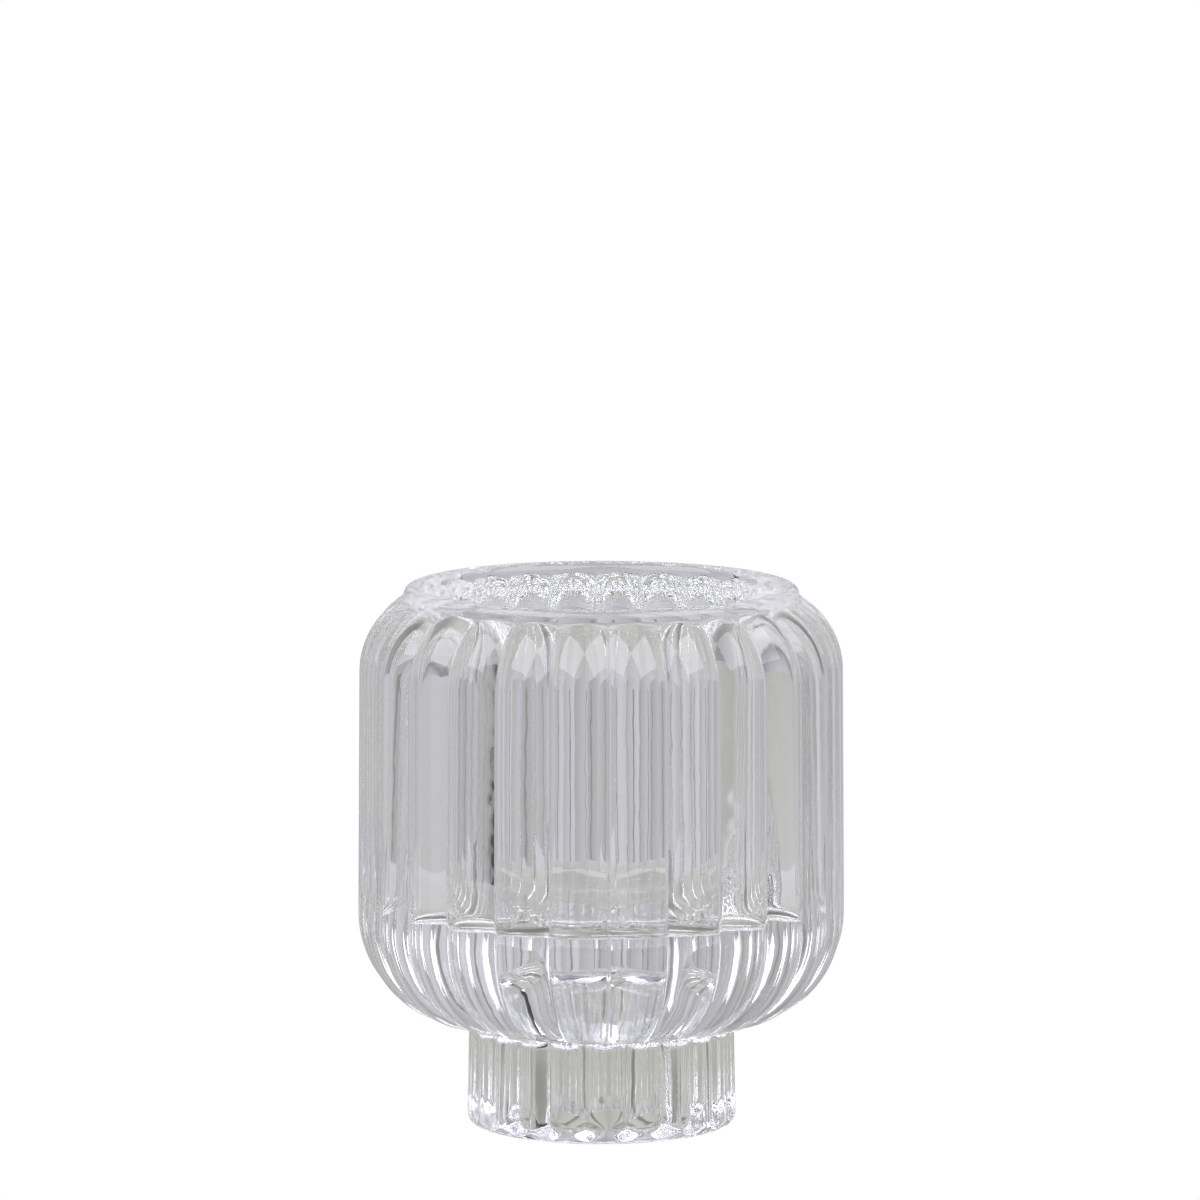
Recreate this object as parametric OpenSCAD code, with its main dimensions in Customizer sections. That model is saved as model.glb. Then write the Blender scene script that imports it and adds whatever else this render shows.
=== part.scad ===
// Candle holder in clear pressed glass, made as one piece.
// A ribbed bowl takes a tealight from above. Turned over, it takes a taper candle in the socket under its foot.

/* [Bowl] */
// Overall height, from the base to the top of the rim
height = 78; // [74:0.5:84]
// Diameter over the crests of the ribs
bowl_d = 70; // [68:0.5:74]
// Number of ribs round the bowl
bowl_ribs = 26; // [24:2:30]
// Radius of a rib across its width
rib_r = 6; // [4.6:0.1:7]
// Turn of the bowl's ribs about the axis, in degrees
bowl_turn = 8.7; // [0:0.1:18]
// Radius of the lower shoulder, seen from the side
lower_shoulder = 15.7; // [14:0.1:17]
// Radius of the upper shoulder, seen from the side
upper_shoulder = 12.25; // [11:0.05:13]

/* [Rim and bowl cavity] */
// Outer diameter of the smooth rim
rim_d = 56.8; // [56.8:0.2:58]
// Radius of the rounding on the rim's outer edge
rim_round = 1.4; // [1:0.1:1.4]
// Diameter of the mouth
mouth_d = 50.8; // [49:0.2:50.8]
// Diameter of the cavity where its wall meets the corner rounding
cavity_d = 49.6; // [47:0.2:49.6]
// Height of the cavity's floor above the base
floor_z = 31; // [29:0.5:32]
// Radius of the rounding between the wall and the floor
floor_round = 3; // [2:0.5:6]

/* [Foot] */
// Height of the foot, up to the bowl
foot_h = 14.9; // [13:0.1:16]
// Diameter over the crests of the foot's ribs
foot_d = 38.9; // [37:0.1:40]
// Number of ribs round the foot
foot_ribs = 22; // [20:1:24]
// Radius of a foot rib across its width
foot_rib_r = 3.2; // [3.1:0.1:5]
// Turn of the foot's ribs about the axis, in degrees
foot_turn = 2; // [0:0.1:18]
// Radius of the rounding round the base
base_round = 1.6; // [1:0.1:2.5]

/* [Taper socket] */
// Diameter of the socket, for a 22 mm taper candle
socket_d = 22.5; // [22.2:0.1:23.2]
// Depth of the socket, from the base
socket_depth = 26.6; // [22:0.2:26.8]
// Radius of the rounding at the socket's mouth and top
socket_round = 1.5; // [1:0.1:2]

/* [Hidden] */
$fn = 96;

bowl_r = bowl_d / 2;
rim_r = rim_d / 2;
mouth_r = mouth_d / 2;
cavity_r = cavity_d / 2;
foot_r = foot_d / 2;
socket_r = socket_d / 2;

// Both shoulders are arcs that end the straight wall of the bowl
lower_z = foot_h + lower_shoulder;
upper_sweep = acos((rim_r - bowl_r + upper_shoulder) / upper_shoulder);
collar_z = height - rim_round - 0.3;
upper_z = collar_z - upper_shoulder * sin(upper_sweep);

// How far from the axis two neighbouring ribs meet
function valley(crest_r, rib, count) =
    (crest_r - rib) * cos(180 / count) + sqrt(rib ^ 2 - ((crest_r - rib) * sin(180 / count)) ^ 2);

// The solid cores stop short of the valleys
valley_r = valley(bowl_r, rib_r, bowl_ribs);
bowl_core_r = valley_r - 1.3;
foot_core_r = valley(foot_r, foot_rib_r, foot_ribs) - 0.4;
core_inset = bowl_r - bowl_core_r;

// A fine web across the valleys where the wall meets each shoulder. It isn't a feature of the real holder: it
// closes the pinpoint seams between the straight and the curved stretches of the ribs.
web_h = 0.6;
web_proud = 0.15;

clear = 1;

// The outer half of a rib's section, which the shoulders sweep round their arcs
module half_section(r) {
    intersection() {
        circle(r = r);
        translate([0, -r]) square([r, 2 * r]);
    }
}

// A stretch of rib that follows a shoulder of the given radius, from the wall round by the given angle
module shoulder_rib(shoulder, sweep) {
    rotate([90, 0, 0])
        rotate_extrude(angle = sweep)
            translate([shoulder - rib_r, 0]) half_section(rib_r);
}

// One rib: round the lower shoulder, up the wall, and round the upper shoulder to the rim
module bowl_rib() {
    translate([bowl_r - lower_shoulder, 0, lower_z])
        rotate([180, 0, 0]) shoulder_rib(lower_shoulder, 90);
    translate([bowl_r - rib_r, 0, lower_z])
        cylinder(r = rib_r, h = upper_z - lower_z);
    translate([bowl_r - upper_shoulder, 0, upper_z])
        shoulder_rib(upper_shoulder, upper_sweep);
}

// Copies its children round the axis, starting at the front, which is -Y
module ring_of(count, turn) {
    for (i = [0 : count - 1]) rotate([0, 0, i * 360 / count + turn - 90]) children();
}

// The bowl's body inside the ribs, with the same shoulders
module bowl_core() {
    rotate_extrude() {
        translate([0, foot_h + core_inset]) square([bowl_r - lower_shoulder, collar_z - foot_h - core_inset]);
        translate([0, lower_z]) square([bowl_core_r, upper_z - lower_z]);
        intersection() {
            translate([bowl_r - lower_shoulder, lower_z]) circle(r = lower_shoulder - core_inset);
            square([bowl_core_r, lower_z]);
        }
        intersection() {
            translate([bowl_r - upper_shoulder, upper_z]) circle(r = upper_shoulder - core_inset);
            translate([0, upper_z]) square([rim_r, collar_z - upper_z]);
        }
    }
}

module seam_webs() {
    for (z = [lower_z, upper_z])
        translate([0, 0, z - web_h / 2]) cylinder(r = valley_r + web_proud, h = web_h);
}

// The smooth band above the ribs, rounded over at the top
module rim() {
    rotate_extrude() {
        translate([0, collar_z - 1.5]) square([rim_r, height - rim_round - collar_z + 1.5]);
        translate([rim_r - rim_round, height - rim_round]) circle(r = rim_round);
        translate([0, height - rim_round]) square([rim_r - rim_round, rim_round]);
    }
}

// A round block with its lower edge rounded, which trims the foot's ribs
module rounded_block(r, h, edge) {
    rotate_extrude() {
        square([r - edge, h]);
        translate([0, edge]) square([r, h - edge]);
        intersection() {
            translate([r - edge, edge]) circle(r = edge);
            square([r, edge]);
        }
    }
}

module foot() {
    top = foot_h + core_inset + 1;
    intersection() {
        union() {
            cylinder(r = foot_core_r, h = top);
            ring_of(foot_ribs, foot_turn)
                translate([foot_r - foot_rib_r, 0, 0]) cylinder(r = foot_rib_r, h = top);
        }
        rounded_block(foot_r, top, base_round);
    }
}

// The space for the tealight, a little wider at the mouth than at the floor
module cavity() {
    wall_z = floor_z + floor_round;
    rotate_extrude() {
        translate([0, floor_z]) square([cavity_r - floor_round, floor_round]);
        intersection() {
            translate([cavity_r - floor_round, wall_z]) circle(r = floor_round);
            translate([0, floor_z]) square([cavity_r, floor_round]);
        }
        polygon([[0, wall_z], [cavity_r, wall_z], [mouth_r, height - rim_round], [0, height - rim_round]]);
        translate([0, height - rim_round]) difference() {
            square([mouth_r + rim_round, rim_round + clear]);
            translate([mouth_r + rim_round, 0]) circle(r = rim_round);
        }
    }
}

// The blind hole for a taper candle, open at the base
module taper_socket() {
    rotate_extrude() {
        translate([0, -clear]) square([socket_r + socket_round, clear]);
        difference() {
            square([socket_r + socket_round, socket_round]);
            translate([socket_r + socket_round, socket_round]) circle(r = socket_round);
        }
        square([socket_r - socket_round, socket_depth]);
        intersection() {
            translate([socket_r - socket_round, socket_depth - socket_round]) circle(r = socket_round);
            translate([0, socket_depth - socket_round]) square([socket_r, socket_round]);
        }
    }
    cylinder(r = socket_r, h = socket_depth - socket_round);
}

module holder() {
    color([0.93, 0.95, 0.95, 0.5])
        difference() {
            union() {
                bowl_core();
                ring_of(bowl_ribs, bowl_turn) bowl_rib();
                seam_webs();
                rim();
                foot();
            }
            cavity();
            taper_socket();
        }
}

holder();
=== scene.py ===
"""A candle holder in clear pressed glass: a ribbed bowl with a smooth rim, on a ribbed foot with a taper socket."""

import bpy
import numpy as np
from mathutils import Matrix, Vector


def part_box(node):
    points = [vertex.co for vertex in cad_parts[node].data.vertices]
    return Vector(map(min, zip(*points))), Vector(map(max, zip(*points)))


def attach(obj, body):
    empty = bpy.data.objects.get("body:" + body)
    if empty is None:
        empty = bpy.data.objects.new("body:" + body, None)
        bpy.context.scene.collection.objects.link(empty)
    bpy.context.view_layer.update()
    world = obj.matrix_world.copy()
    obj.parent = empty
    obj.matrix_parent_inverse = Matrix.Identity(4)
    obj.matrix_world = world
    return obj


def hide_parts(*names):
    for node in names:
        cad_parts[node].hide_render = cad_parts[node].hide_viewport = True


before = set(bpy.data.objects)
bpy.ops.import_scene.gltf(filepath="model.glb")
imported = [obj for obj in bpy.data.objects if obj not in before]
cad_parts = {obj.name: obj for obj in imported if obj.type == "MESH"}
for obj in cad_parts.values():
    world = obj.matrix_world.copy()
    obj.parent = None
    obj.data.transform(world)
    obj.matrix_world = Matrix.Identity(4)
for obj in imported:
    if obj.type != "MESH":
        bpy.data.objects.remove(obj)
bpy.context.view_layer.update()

# ---------------------------------------------------------------------------------------------------------------
# Camera. A long lens, a little over a metre away and looking slightly down into the mouth.

EYE = (-0.0002, -1.1982, 0.2350)
EYE_DOWN = 0.1321
LENS_MM, SENSOR_MM = 252.9, 36
NEAREST = 0.01

camera = bpy.data.objects.new("camera", bpy.data.cameras.new("camera"))
camera.data.sensor_width = SENSOR_MM
camera.data.lens = LENS_MM
camera.data.clip_start = NEAREST
camera.location = EYE
camera.rotation_euler = (np.pi / 2 - EYE_DOWN, 0, 0)
bpy.context.scene.collection.objects.link(camera)
bpy.context.scene.camera = camera

# ---------------------------------------------------------------------------------------------------------------
# The bowl's outside. Molten glass is pressed into a cut iron mould, which leaves 26 round ribs that run from the
# foot round the lower shoulder, up the wall and round the upper shoulder, with soft valleys between them.

MM = 0.001
HOLDER_HIGH = np.array(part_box("holder")[1])
HEIGHT = HOLDER_HIGH[2]
BOWL_RIBS = 26
BOWL_TURN = np.radians(8.7)
# The bowl's radius over its crests: the crest nearest to +X, which sets the box, stands 1.8 degrees off that axis
CREST_OFF_X = np.radians(1.8)
BOWL_R = HOLDER_HIGH[0] / np.cos(CREST_OFF_X)
RIB_R = 6.0 * MM
VALLEY_SOFT = 0.2 * MM
LOWER_SHOULDER = 15.7 * MM
UPPER_SHOULDER = 12.25 * MM
FOOT_TOP = 14.9 * MM
RIM_R = 28.4 * MM
# How far below the top of the rim the ribs end, and how far the wall leans in over its height
COLLAR_DROP = 1.7 * MM
DRAFT = 0.28 * MM
# The lower shoulder starts 88 degrees below level, with ribs of a quarter of their depth, which have all of it
# 0.35 radians further on
LOWER_START = -88
LOWER_DEPTH, LOWER_FADE = 0.25, 0.35
LOWER_RINGS, WALL_RINGS, UPPER_RINGS = 30, 4, 26

# Every ring of the glass has the same number of points, a whole number for each bowl rib and each foot rib
FOOT_RIBS = 22
COLUMNS = BOWL_RIBS * FOOT_RIBS
# How strongly the points crowd towards the valleys (1 is evenly spread)
CROWDING = 1.4
# The valleys are found by halving an interval, and their softening takes no slope steeper than this angle
HALVINGS = 40
STEEPEST = 1.2


def rib_steps(count):
    """Places across each rib, from one valley at -1 to the next at 1, closer together near the valleys."""
    per_rib = COLUMNS // count
    even = np.linspace(-1, 1, per_rib, endpoint=False)
    return np.tile(np.sign(even) * (1 - (1 - np.abs(even)) ** CROWDING), count)


def rib_axes(count, turn):
    """The azimuth of the rib that each point belongs to, from the front (-Y) towards +X."""
    per_rib = COLUMNS // count
    return turn + 2 * np.pi / count * (np.arange(COLUMNS) // per_rib)


def ribbed_rings(count, turn, tube, spine, centre_r, centre_z, climb, soft=VALLEY_SOFT, depth=1.0):
    """Rings of points across a circle of ribs, one ring for each value of climb.

    A rib is a tube whose centre line is an arc of radius spine about a centre at (centre_r, centre_z) in the
    rib's own upright plane. A point at angle a round the tube lies spine + tube * cos(a) from that centre, at the
    angle climb above level, and tube * sin(a) to the side. It stops at the valley, where the side offset is
    tan(half a pitch) times the distance from the axis. Within soft of the valley a parabola lifts the surface,
    which makes the valley round. depth below 1 flattens the ribs towards their crests.
    """
    half = np.pi / count
    climb = np.atleast_1d(climb).astype(float)[:, None]
    level, rise = np.cos(climb), np.sin(climb)
    least, most = np.zeros_like(level), np.full_like(level, np.pi / 2)
    for _ in range(HALVINGS):
        middle = (least + most) / 2
        past = tube * np.sin(middle) > np.tan(half) * (centre_r + (spine + tube * np.cos(middle)) * level)
        most = np.where(past, middle, most)
        least = np.where(past, least, middle)
    a = most * rib_steps(count)
    gap = tube * (most - np.abs(a))
    steep = np.tan(np.clip(most - half * np.abs(level), 0, STEEPEST))
    lift = steep * np.clip(soft - gap, 0, None) ** 2 / (2 * soft)
    depth = np.reshape(depth, (-1, 1))
    reach = spine + tube - (tube * (1 - np.cos(a)) - lift) * depth
    out = centre_r + reach * level
    side = tube * np.sin(a)
    z = np.reshape(centre_z, (-1, 1)) + reach * rise
    axis = rib_axes(count, turn)
    x = out * np.sin(axis) + side * np.cos(axis)
    y = -out * np.cos(axis) + side * np.sin(axis)
    return np.stack([x, y, np.broadcast_to(z, x.shape)], axis=-1)


def plain_rings(radius, z):
    """Circles about the axis at the given radii and heights, with points at the bowl's rib places."""
    angle = rib_axes(BOWL_RIBS, BOWL_TURN) + np.pi / BOWL_RIBS * rib_steps(BOWL_RIBS)
    radius, z = np.broadcast_arrays(np.atleast_1d(radius)[:, None], np.atleast_1d(z)[:, None])
    return np.stack([radius * np.sin(angle), -radius * np.cos(angle), z + 0 * angle], axis=-1)


def arc(start, end, count):
    """Angles in radians from start to end, given in degrees."""
    return np.radians(np.linspace(start, end, count))


collar_z = HEIGHT - COLLAR_DROP
upper_sweep = np.degrees(np.arccos((RIM_R - BOWL_R + DRAFT + UPPER_SHOULDER) / UPPER_SHOULDER))
lower_z = FOOT_TOP + LOWER_SHOULDER
upper_z = collar_z - UPPER_SHOULDER * np.sin(np.radians(upper_sweep))

lower_climb = arc(LOWER_START, 0, LOWER_RINGS)
lower_rings = ribbed_rings(BOWL_RIBS, BOWL_TURN, RIB_R, LOWER_SHOULDER - RIB_R,
                           BOWL_R - LOWER_SHOULDER, lower_z, lower_climb,
                           depth=np.clip((lower_climb - lower_climb[0]) / LOWER_FADE, LOWER_DEPTH, 1))

wall_rise = np.linspace(0, 1, WALL_RINGS + 2)[1:-1]
wall_rings = np.concatenate([
    ribbed_rings(BOWL_RIBS, BOWL_TURN, RIB_R, 0, BOWL_R - RIB_R - DRAFT * rise,
                 lower_z + (upper_z - lower_z) * rise, 0)
    for rise in wall_rise])

upper_rings = ribbed_rings(BOWL_RIBS, BOWL_TURN, RIB_R, UPPER_SHOULDER - RIB_R,
                           BOWL_R - DRAFT - UPPER_SHOULDER, upper_z, arc(0, upper_sweep, UPPER_RINGS))

# ---------------------------------------------------------------------------------------------------------------
# The rim. A smooth band above the ribs, rounded over into the mouth where the flame has softened the glass.

RIM_ROUND = 1.4 * MM
MOUTH_R = 25.4 * MM
# The band starts just above the ends of the ribs
BAND_START = 0.1 * MM
ROUNDING_RINGS = 8

crown = arc(0, 90, ROUNDING_RINGS)
rim_rings = np.concatenate([
    plain_rings(RIM_R, collar_z + BAND_START),
    plain_rings(RIM_R - RIM_ROUND + RIM_ROUND * np.cos(crown), HEIGHT - RIM_ROUND + RIM_ROUND * np.sin(crown)),
    plain_rings(MOUTH_R + RIM_ROUND - RIM_ROUND * np.sin(crown), HEIGHT - RIM_ROUND + RIM_ROUND * np.cos(crown)),
])

# ---------------------------------------------------------------------------------------------------------------
# The cavity for the tealight. The plunger leaves it smooth, a little wider at the mouth, with a rounded corner
# and a flat floor.

CAVITY_R = 24.8 * MM
FLOOR_Z = 31.0 * MM
FLOOR_ROUND = 3.0 * MM
CAVITY_WALL_RINGS, CORNER_RINGS, FLOOR_RINGS = 6, 14, 5
# The last ring before the fan that closes the middle of a flat surface
MIDDLE_R = 0.5 * MM

corner = arc(0, 90, CORNER_RINGS)
down = np.linspace(0, 1, CAVITY_WALL_RINGS + 2)[1:-1]
cavity_rings = np.concatenate([
    plain_rings(MOUTH_R + (CAVITY_R - MOUTH_R) * down,
                HEIGHT - RIM_ROUND + (FLOOR_Z + FLOOR_ROUND - HEIGHT + RIM_ROUND) * down),
    plain_rings(CAVITY_R - FLOOR_ROUND + FLOOR_ROUND * np.cos(corner),
                FLOOR_Z + FLOOR_ROUND - FLOOR_ROUND * np.sin(corner)),
    plain_rings(np.linspace(CAVITY_R - FLOOR_ROUND, MIDDLE_R, FLOOR_RINGS + 1)[1:], FLOOR_Z),
])

# ---------------------------------------------------------------------------------------------------------------
# The foot. 22 narrower ribs, whose lower ends are rounded off onto a smooth base ring.

FOOT_R = 19.45 * MM
FOOT_RIB_R = 3.2 * MM
FOOT_TURN = np.radians(2.0)
FOOT_VALLEY_SOFT = 0.25 * MM
FOOT_DRAFT = 0.26 * MM
BASE_ROUND = 1.6 * MM
# The height above the base at which the ribs reach their full depth
RIB_END = 2.2 * MM
BASE_RINGS, SHAFT_RINGS = 10, 8

foot_z = np.concatenate([BASE_ROUND + BASE_ROUND * np.sin(arc(-90, 0, BASE_RINGS)),
                         np.linspace(BASE_ROUND, FOOT_TOP, SHAFT_RINGS + 1)[1:]])
foot_inset = np.where(foot_z < BASE_ROUND,
                      BASE_ROUND - np.sqrt(np.clip(BASE_ROUND ** 2 - (BASE_ROUND - foot_z) ** 2, 0, None)),
                      FOOT_DRAFT * (foot_z - BASE_ROUND) / (FOOT_TOP - BASE_ROUND))
end = np.clip(foot_z / RIB_END, 0, 1)
foot_rings = np.concatenate([
    ribbed_rings(FOOT_RIBS, FOOT_TURN, FOOT_RIB_R, 0, FOOT_R - FOOT_RIB_R - inset, z, 0,
                 soft=FOOT_VALLEY_SOFT, depth=depth)
    for inset, z, depth in zip(foot_inset, foot_z, end * end * (3 - 2 * end))])

# The foot's rings start at another azimuth than the bowl's, so their points are numbered from the nearest one
start_gap = (FOOT_TURN - np.pi / FOOT_RIBS) - (BOWL_TURN - np.pi / BOWL_RIBS)
foot_rings = np.roll(foot_rings, round(start_gap / (2 * np.pi) * COLUMNS), axis=1)

# ---------------------------------------------------------------------------------------------------------------
# The taper socket. A blind round hole in the underside of the foot, for a candle when the holder is turned over.

SOCKET_R = 11.25 * MM
SOCKET_TOP = 26.6 * MM
SOCKET_ROUND = 1.5 * MM
SOCKET_TOP_RINGS, SOCKET_WALL_RINGS, BASE_FLAT_RINGS = 4, 3, 2

turn_in = arc(0, 90, ROUNDING_RINGS)
socket_rings = np.concatenate([
    plain_rings(np.linspace(MIDDLE_R, SOCKET_R - SOCKET_ROUND, SOCKET_TOP_RINGS + 1)[:-1], SOCKET_TOP),
    plain_rings(SOCKET_R - SOCKET_ROUND + SOCKET_ROUND * np.sin(turn_in),
                SOCKET_TOP - SOCKET_ROUND + SOCKET_ROUND * np.cos(turn_in)),
    plain_rings(SOCKET_R, np.linspace(SOCKET_TOP - SOCKET_ROUND, SOCKET_ROUND, SOCKET_WALL_RINGS + 2)[1:-1]),
    plain_rings(SOCKET_R + SOCKET_ROUND - SOCKET_ROUND * np.cos(turn_in),
                SOCKET_ROUND - SOCKET_ROUND * np.sin(turn_in)),
    plain_rings(np.linspace(SOCKET_R + SOCKET_ROUND, FOOT_R - BASE_ROUND, BASE_FLAT_RINGS + 2)[1:-1], 0),
])

# ---------------------------------------------------------------------------------------------------------------
# The glass as one closed skin: from the middle of the socket's top out over the foot and the bowl and back down
# to the middle of the cavity's floor. The glass is clear and polished, with slight ripples from the mould.

# Keeps the length of a step above zero where two rings or points coincide
TINY = 1e-12


def surface_normals(rings):
    """The surface's direction at each point: round the ring crossed with along the stack. The two end points face
    along the axis."""
    def slope(before, here, after):
        """The direction through a point: its two steps' directions, each weighted by the other's length."""
        step_in, step_out = here - before, after - here
        size_in = np.linalg.norm(step_in, axis=-1, keepdims=True) + TINY
        size_out = np.linalg.norm(step_out, axis=-1, keepdims=True) + TINY
        return (step_in / size_in * size_out + step_out / size_out * size_in) / (size_in + size_out)

    padded = np.concatenate([rings[:1], rings, rings[-1:]])
    along = slope(padded[:-2], rings, padded[2:])
    round_ring = slope(np.roll(rings, 1, axis=1), rings, np.roll(rings, -1, axis=1))
    normals = np.cross(round_ring, along)
    normals /= np.linalg.norm(normals, axis=-1, keepdims=True)
    return np.concatenate([normals.reshape(-1, 3), [(0, 0, -1)], [(0, 0, 1)]])


def skin(name, rings):
    """A closed mesh over a stack of rings: four-sided faces between neighbouring rings, and a fan at each end."""
    count, columns = rings.shape[:2]
    places = np.concatenate([rings.reshape(-1, 3), rings[[0, -1]].mean(axis=1)])
    column = np.arange(columns)
    following = (column + 1) % columns
    row = np.arange(count - 1)[:, None] * columns
    quads = np.stack([row + column, row + following, row + columns + following, row + columns + column], axis=-1)
    last = (count - 1) * columns
    first_fan = np.stack([np.full(columns, len(places) - 2), following, column], axis=-1)
    last_fan = np.stack([np.full(columns, len(places) - 1), last + column, last + following], axis=-1)
    mesh = bpy.data.meshes.new(name)
    mesh.from_pydata(places, [], quads.reshape(-1, 4).tolist() + first_fan.tolist() + last_fan.tolist())
    mesh.shade_smooth()
    mesh.normals_split_custom_set_from_vertices(surface_normals(rings))
    piece = bpy.data.objects.new(name, mesh)
    bpy.context.scene.collection.objects.link(piece)
    return piece


glass = skin("glass_holder", np.concatenate(
    [socket_rings, foot_rings, lower_rings, wall_rings, upper_rings, rim_rings, cavity_rings]))


class Wire:
    """An output of a shader node. Arithmetic on wires and numbers adds Math nodes, and node() adds any other."""

    def __init__(self, tree, socket=None):
        self.tree, self.socket = tree, socket

    def node(self, kind, inputs=None, output=0, stops=(), **settings):
        """Adds a node with its settings and its ramp's stops, fills or links its inputs, and returns an output."""
        made = self.tree.nodes.new(kind)
        for name, value in settings.items():
            setattr(made, name, value)
        if stops:
            ramp = made.color_ramp.elements
            ramp[0].position, ramp[-1].position = stops[0][0], stops[-1][0]
            for position, _ in stops[1:-1]:
                ramp.new(position)
            for element, (_, colour) in zip(ramp, stops):
                element.color = (*colour, 1)
        for name, value in (inputs or {}).items():
            if isinstance(value, Wire):
                self.tree.links.new(value.socket, made.inputs[name])
            else:
                made.inputs[name].default_value = value
        return Wire(self.tree, made.outputs[output]) if len(made.outputs) else None

    def maths(self, operation, first, second):
        """A Math node on two values."""
        return self.node("ShaderNodeMath", {0: first, 1: second}, operation=operation)

    def parts(self):
        """The x, y and z of a vector."""
        split = self.node("ShaderNodeSeparateXYZ", {"Vector": self}).socket.node
        return [Wire(self.tree, output) for output in split.outputs]

    def __add__(self, other):
        return self.maths("ADD", self, other)

    def __mul__(self, other):
        return self.maths("MULTIPLY", self, other)

    __radd__, __rmul__ = __add__, __mul__


SODA_GLASS_IOR = 1.52

clear_glass = bpy.data.materials.new("clear_glass")
clear_glass.use_nodes = True
shader = clear_glass.node_tree.nodes["Principled BSDF"]
shader.inputs["Base Color"].default_value = (1, 1, 1, 1)
shader.inputs["IOR"].default_value = SODA_GLASS_IOR
shader.inputs["Transmission Weight"].default_value = 1

# Slow waves from the flow of the glass, and small dimples where the iron chilled it, both drawn out upwards
WAVE_WIDTH, WAVE_HEIGHT = 9 * MM, 0.3 * MM
CHILL_WIDTH, CHILL_HEIGHT = 1.8 * MM, 0.02 * MM
WAVE_STRETCH, CHILL_STRETCH = (1, 1, 0.12), (1, 1, 0.5)
# The flat of the base is scuffed where the holder has stood and been slid about
SCUFF_TOP, SCUFF = 0.2 * MM, 0.4

surface = Wire(clear_glass.node_tree)
on_glass = surface.node("ShaderNodeTexCoord", output="Object")


def ripples(width, stretch):
    """Soft noise about the given width in metres, drawn out by the stretch."""
    drawn_out = surface.node("ShaderNodeMapping", {"Vector": on_glass, "Scale": stretch})
    return surface.node("ShaderNodeTexNoise", {"Vector": drawn_out, "Scale": 1 / width, "Detail": 1.0})


wave = ripples(WAVE_WIDTH, WAVE_STRETCH)
chill = ripples(CHILL_WIDTH, CHILL_STRETCH)
relief = wave + chill * (CHILL_HEIGHT / WAVE_HEIGHT)
bump = surface.node("ShaderNodeBump", {"Height": relief, "Strength": 1.0, "Distance": WAVE_HEIGHT})
scuffs = surface.maths("LESS_THAN", on_glass.parts()[2], SCUFF_TOP) * (chill * SCUFF)
clear_glass.node_tree.links.new(bump.socket, shader.inputs["Normal"])
clear_glass.node_tree.links.new(scuffs.socket, shader.inputs["Roughness"])
glass.data.materials.append(clear_glass)

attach(glass, "root")
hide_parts("holder")

# ---------------------------------------------------------------------------------------------------------------
# The studio: a pale floor and surround that look white to the camera, two big soft lights in front and above, and
# two darker strips behind. The glass bends the surround's lighter and darker stretches into its upright lines.

# Tints of the surround: each is a red, green and blue that a tone multiplies
LILAC, OLIVE, GREY = (0.98, 0.98, 1.06), (0.98, 1.0, 0.93), (0.98, 0.99, 0.96)
WHITE = (1, 1, 1, 1)
# A Mix node has its colours in these two inputs and this output
MIX_A, MIX_B, MIX_OUT = 6, 7, 2


def tinted(tone, tint):
    """A grey of the given tone in the given tint."""
    return tuple(tone * part for part in tint)


def by_azimuth(rows):
    """Ramp stops from rows of azimuth in degrees, 0 being behind the object and 90 to its right, tone and tint."""
    return [(0.5 + azimuth / 360, tinted(tone, tint)) for azimuth, tone, tint in rows]


def azimuth_tone(wire, right, back, rows):
    """A ramp of tones round the upright axis."""
    turn = wire.maths("ARCTAN2", right, back) * (0.5 / np.pi) + 0.5
    return wire.node("ShaderNodeValToRGB", {0: turn}, stops=by_azimuth(rows))


def product(wire, first, second):
    """Two colours multiplied."""
    return wire.node("ShaderNodeMix", {0: 1.0, MIX_A: first, MIX_B: second}, MIX_OUT,
                     data_type="RGBA", blend_type="MULTIPLY")


def white_to_camera(wire, shader_kind, colour):
    """A glow of the given colour for the glass, and white for the camera's own view."""
    return wire.node("ShaderNodeMixShader", {
        0: wire.node("ShaderNodeLightPath", output="Is Camera Ray"),
        1: wire.node(shader_kind, {"Color": colour}),
        2: wire.node(shader_kind, {"Color": WHITE})})


# Height in the ramp runs from 0, straight down, to 1, straight up
HEIGHTS = [(0.0, (0.75, 0.76, 0.74)), (0.4, (1, 1, 1)), (0.6, (1, 1, 1)), (0.75, (0.85, 0.85, 0.9)),
           (1.0, (0.75, 0.75, 0.84))]
SURROUND = [(-180, 0.25, GREY), (-152, 0.29, GREY), (-138, 0.64, LILAC), (-120, 0.64, GREY), (-113, 0.05, GREY),
            (-86, 0.05, GREY), (-79, 0.66, GREY), (-66, 0.54, GREY), (-42, 0.56, LILAC), (-20, 0.42, GREY),
            (0, 0.52, LILAC), (22, 0.64, LILAC), (44, 0.45, GREY), (66, 0.62, GREY), (80, 0.64, LILAC),
            (90, 0.5, GREY), (98, 0.42, GREY), (110, 0.64, GREY), (138, 0.64, LILAC), (152, 0.29, GREY),
            (180, 0.25, GREY)]

world = bpy.data.worlds.new("studio")
bpy.context.scene.world = world
world.use_nodes = True
world.node_tree.nodes.clear()
sky = Wire(world.node_tree)
right, back, up = sky.node("ShaderNodeTexCoord", output="Generated").parts()
height_tone = sky.node("ShaderNodeValToRGB", {0: up * 0.5 + 0.5}, stops=HEIGHTS)
sky_tone = product(sky, height_tone, azimuth_tone(sky, right, back, SURROUND))
sky.node("ShaderNodeOutputWorld", {"Surface": white_to_camera(sky, "ShaderNodeBackground", sky_tone)})


def glow(name):
    """An empty material for the floor or a panel, and the wire that its nodes are added with."""
    finish = bpy.data.materials.new(name)
    finish.use_nodes = True
    finish.node_tree.nodes.clear()
    return finish, Wire(finish.node_tree)


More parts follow.
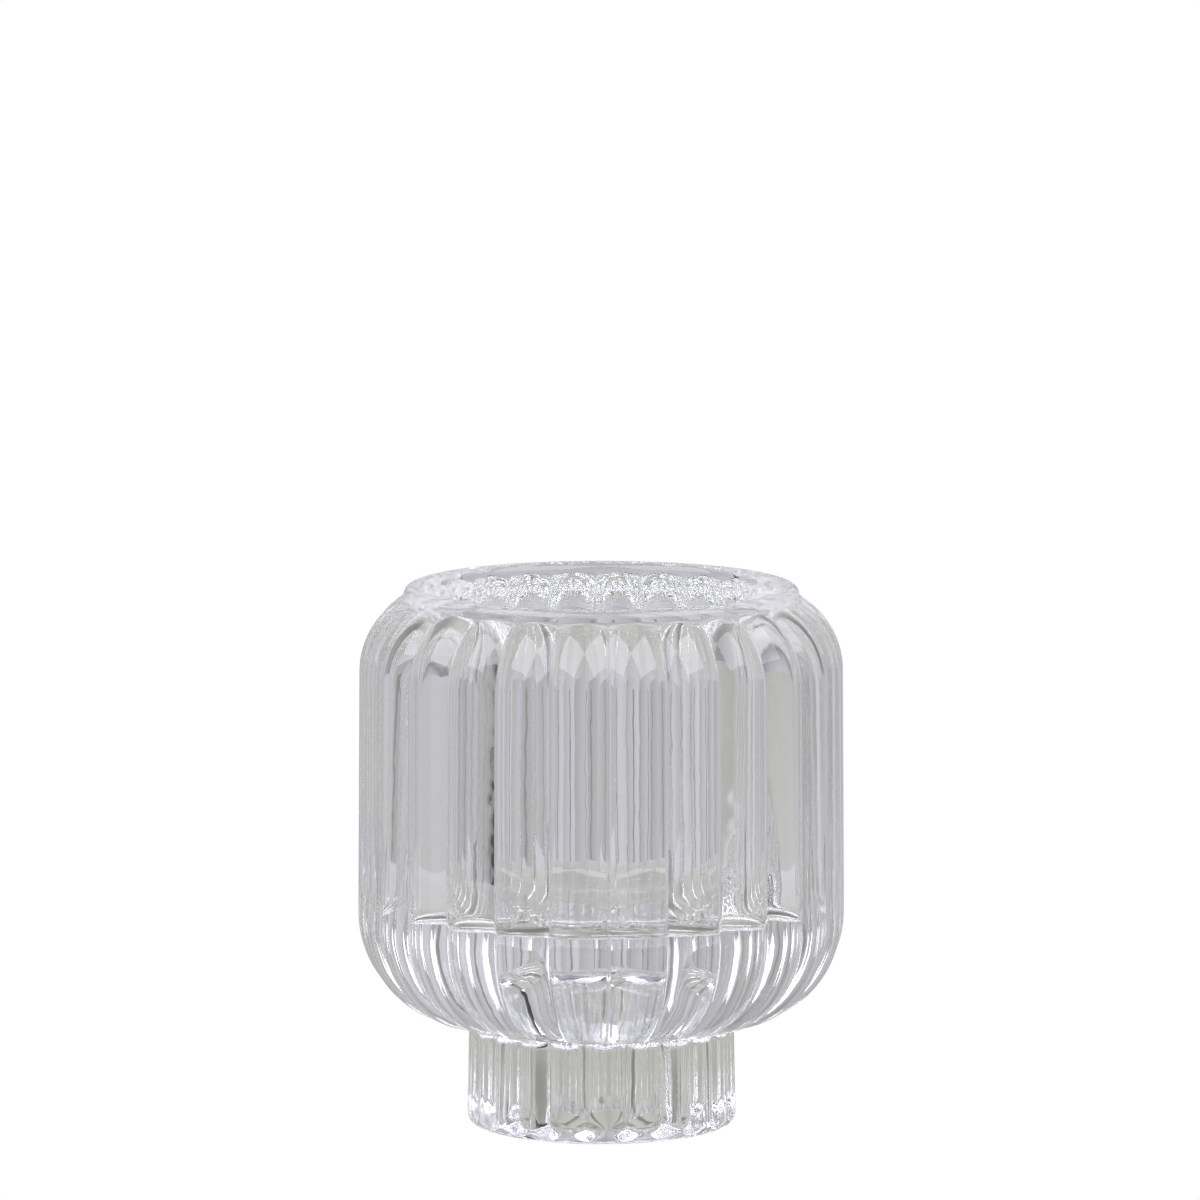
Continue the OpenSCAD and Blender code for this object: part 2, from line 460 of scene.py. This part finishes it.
def rectangle(name, width, height, finish):
    """A flat rectangle about its own middle, which is part of the studio."""
    x, y = width / 2, height / 2
    mesh = bpy.data.meshes.new(name)
    mesh.from_pydata([(-x, -y, 0), (x, -y, 0), (x, y, 0), (-x, y, 0)], [], [(0, 1, 2, 3)])
    mesh.materials.append(finish)
    flat = bpy.data.objects.new(name, mesh)
    bpy.context.scene.collection.objects.link(flat)
    return flat


FLOOR_SIDE = 0.36
# The floor lies a hair below the base. Its tone outwards from the axis is a painted shadow of the holder: darker
# near the axis and lighter further out. It reaches its last stop at FLOOR_REACH.
FLOOR_BELOW = 0.0001
FLOOR_REACH = 0.2
FLOOR_PAINTED_SHADOW = [(0.0, tinted(0.52, OLIVE)), (0.3, tinted(0.5, OLIVE)), (0.55, tinted(0.56, GREY)),
                  (1.0, tinted(0.63, LILAC))]
# Round the axis the floor has lighter and darker stretches, as the surround has: painted caustic light and painted
# shadow from the holder
PLAIN = (1, 1, 1)
FLOOR_PAINTED_STREAKS = [(azimuth, tone, PLAIN) for azimuth, tone in (
    (-180, 1.0), (-160, 0.5), (-148, 0.9), (-130, 0.35), (-118, 1.0), (-96, 0.55), (-86, 1.1), (-60, 1.0),
    (-50, 0.35), (-42, 1.05), (-12, 0.95), (0, 0.85), (14, 1.0), (40, 1.05), (50, 0.3), (60, 1.05), (84, 1.1),
    (96, 0.5), (108, 1.1), (130, 0.4), (142, 1.0), (160, 0.5), (180, 1.0))]

# The floor is white to the camera. To the glass it glows with the painted shadow times the painted stretches of
# shade and light.
paper, ground = glow("floor_painted_shade")
on_floor = ground.node("ShaderNodeTexCoord", output="Object")
right, back, _ = on_floor.parts()
away = ground.node("ShaderNodeVectorMath", {0: on_floor}, "Value", operation="LENGTH") * (1 / FLOOR_REACH)
painted_shadow_tone = ground.node("ShaderNodeValToRGB", {0: away}, stops=FLOOR_PAINTED_SHADOW)
painted_floor_shade = product(ground, painted_shadow_tone, azimuth_tone(ground, right, back, FLOOR_PAINTED_STREAKS))
ground.node("ShaderNodeOutputMaterial", {"Surface": white_to_camera(ground, "ShaderNodeEmission", painted_floor_shade)})
floor = rectangle("floor", FLOOR_SIDE, FLOOR_SIDE, paper)
floor.location.z = -FLOOR_BELOW

# Each panel's place, width, height and glow, all turned towards the middle of the holder
SOFT_LIGHT, DARK_STRIP = (3.1, 3.1, 3.5, 1), (0.28, 0.28, 0.28, 1)
PANELS = [((-0.5, -0.36, 0.8), 0.95, 0.75, SOFT_LIGHT), ((0.5, -0.36, 0.8), 0.95, 0.75, SOFT_LIGHT),
          ((0.15, 0.9, 0.2), 0.05, 0.8, DARK_STRIP), ((-0.3, 0.85, 0.2), 0.05, 0.8, DARK_STRIP)]
AIM = Vector((0, 0, 0.04))
for number, (stand, width, height, colour) in enumerate(PANELS):
    finish, wire = glow(f"panel_{number}")
    wire.node("ShaderNodeOutputMaterial", {"Surface": wire.node("ShaderNodeEmission", {"Color": colour})})
    panel = rectangle(f"panel_{number}", width, height, finish)
    panel.location = stand
    panel.rotation_euler = (AIM - Vector(stand)).to_track_quat("-Z", "Y").to_euler()
    panel.visible_camera = False

# Light turns many times inside ribbed glass before it leaves
BOUNCES, GLOSSY_BOUNCES = 40, 20
cycles = bpy.context.scene.cycles
cycles.max_bounces = cycles.transmission_bounces = BOUNCES
cycles.glossy_bounces = GLOSSY_BOUNCES
bpy.context.scene.view_settings.view_transform = "Standard"
